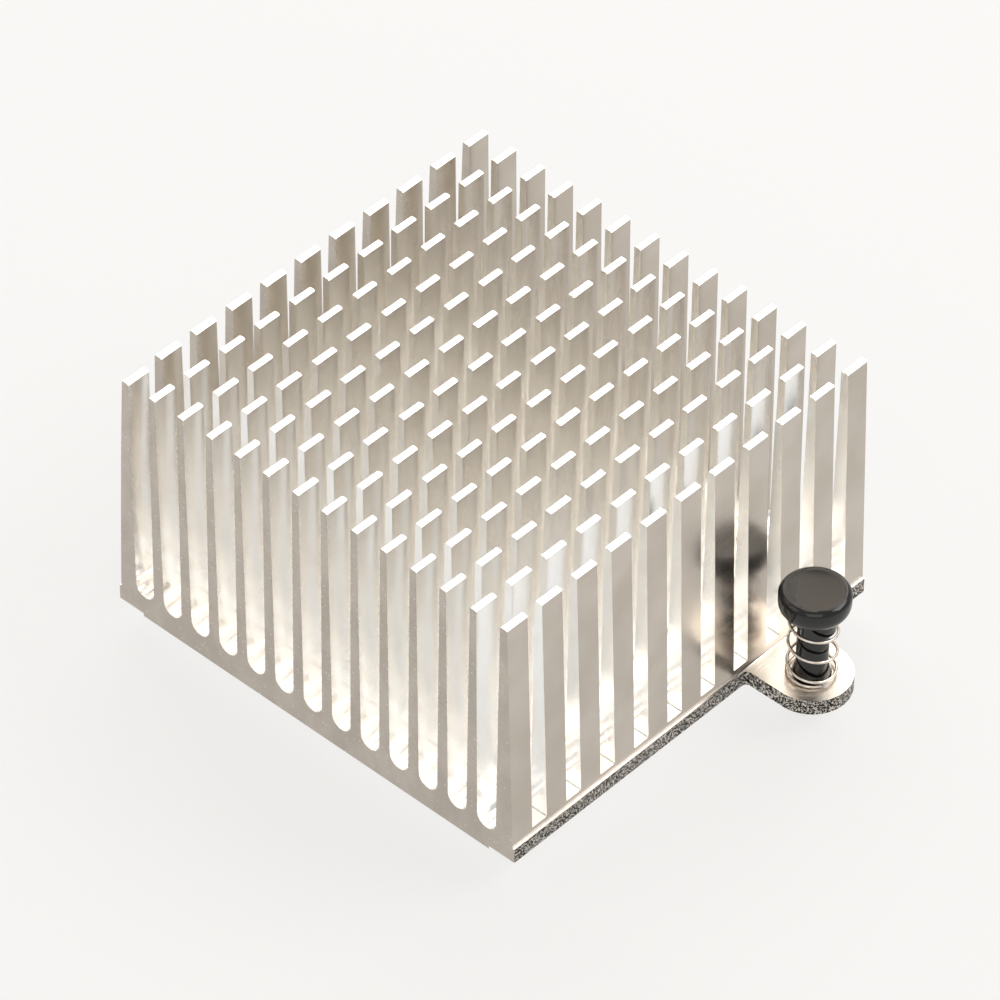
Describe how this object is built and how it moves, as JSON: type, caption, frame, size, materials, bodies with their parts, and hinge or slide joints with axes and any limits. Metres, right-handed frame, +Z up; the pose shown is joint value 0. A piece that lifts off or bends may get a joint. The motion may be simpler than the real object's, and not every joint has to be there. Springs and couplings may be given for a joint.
{
  "type": "pin fin heat sink",
  "caption": "Aluminium heat sink of upright flat pins on a thin base, with an ear on opposite sides, each holding a sprung plastic push pin that snaps it onto a circuit board.",
  "frame": {"origin": "middle of the pad face that touches the cooled chip", "axes": "+Z up from the pad towards the pin tips, +X along the extrusion, +Y across the fins"},
  "size_m": [0.0428, 0.0594, 0.0276],
  "materials": {
    "sink_metal": "bare extrusion with sawn and milled faces",
    "pin_plastic": "moulded black",
    "spring_wire": "drawn spring wire"
  },
  "bodies": {
    "sink": {"heat_sink": "sink_metal", "spring_a": "spring_wire", "spring_b": "spring_wire"},
    "pin_a": {"push_pin_a": "pin_plastic"},
    "pin_b": {"push_pin_b": "pin_plastic"}
  },
  "joints": [
    {"name": "push_a", "type": "slide", "parent": "sink", "child": "pin_a", "axis": [0, 0, -1], "range_m": [0, 0.004], "stiffness_N_per_m": 990, "springref_m": -0.0015, "deforming": ["spring_a"]},
    {"name": "push_b", "type": "slide", "parent": "sink", "child": "pin_b", "axis": [0, 0, -1], "range_m": [0, 0.004], "stiffness_N_per_m": 990, "springref_m": -0.0015, "deforming": ["spring_b"]}
  ]
}
